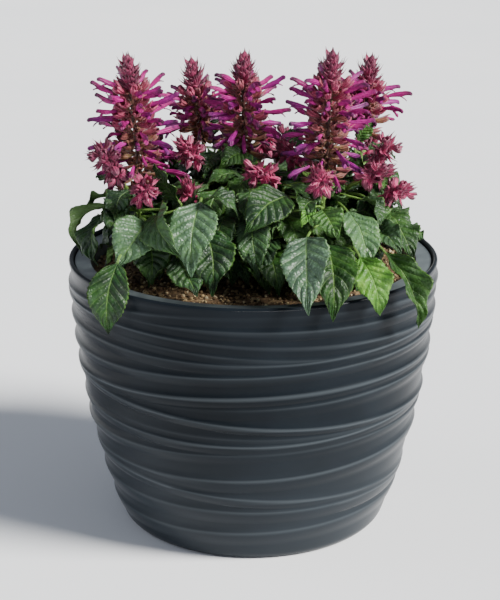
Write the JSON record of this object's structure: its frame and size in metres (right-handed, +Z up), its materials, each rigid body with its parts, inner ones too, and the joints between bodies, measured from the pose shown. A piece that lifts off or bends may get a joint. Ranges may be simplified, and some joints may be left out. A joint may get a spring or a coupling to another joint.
{
  "type": "potted salvia",
  "caption": "Bedding salvias with magenta flower spikes, planted together in a round pot with wave ridges.",
  "frame": {"origin": "centre of the pot's flat underside, on the surface that it stands on", "axes": "+Z up through the plants, -Y towards the front, +X to the right as seen from the front"},
  "size_m": [0.352, 0.3636, 0.462],
  "materials": {
    "pot_plastic": "satin, dark anthracite",
    "liner_plastic": "matte grey",
    "soil_mix": null,
    "foliage": null,
    "spike_bloom": "soft petals, magenta to dusty rose",
    "bud_bloom": "soft bracts, dusty pink"
  },
  "bodies": {
    "root": {"planter": "pot_plastic", "liner": "liner_plastic", "soil": "soil_mix", "plant_1": "foliage", "plant_2": "foliage", "plant_3": "foliage", "plant_4": "foliage", "plant_5": "foliage", "plant_6": "foliage", "plant_7": "foliage", "flower_spike_1": "spike_bloom", "flower_spike_2": "spike_bloom", "flower_spike_3": "spike_bloom", "flower_spike_4": "spike_bloom", "flower_spike_5": "spike_bloom", "bud_head_1": "bud_bloom", "bud_head_2": "bud_bloom", "bud_head_3": "bud_bloom", "bud_head_4": "bud_bloom", "bud_head_5": "bud_bloom", "bud_head_6": "bud_bloom", "bud_head_7": "bud_bloom", "bud_head_8": "bud_bloom", "bud_head_9": "bud_bloom", "bud_head_10": "bud_bloom", "bud_head_11": "bud_bloom", "bud_head_12": "bud_bloom", "bud_head_13": "bud_bloom", "bud_head_14": "bud_bloom"}
  },
  "joints": []
}
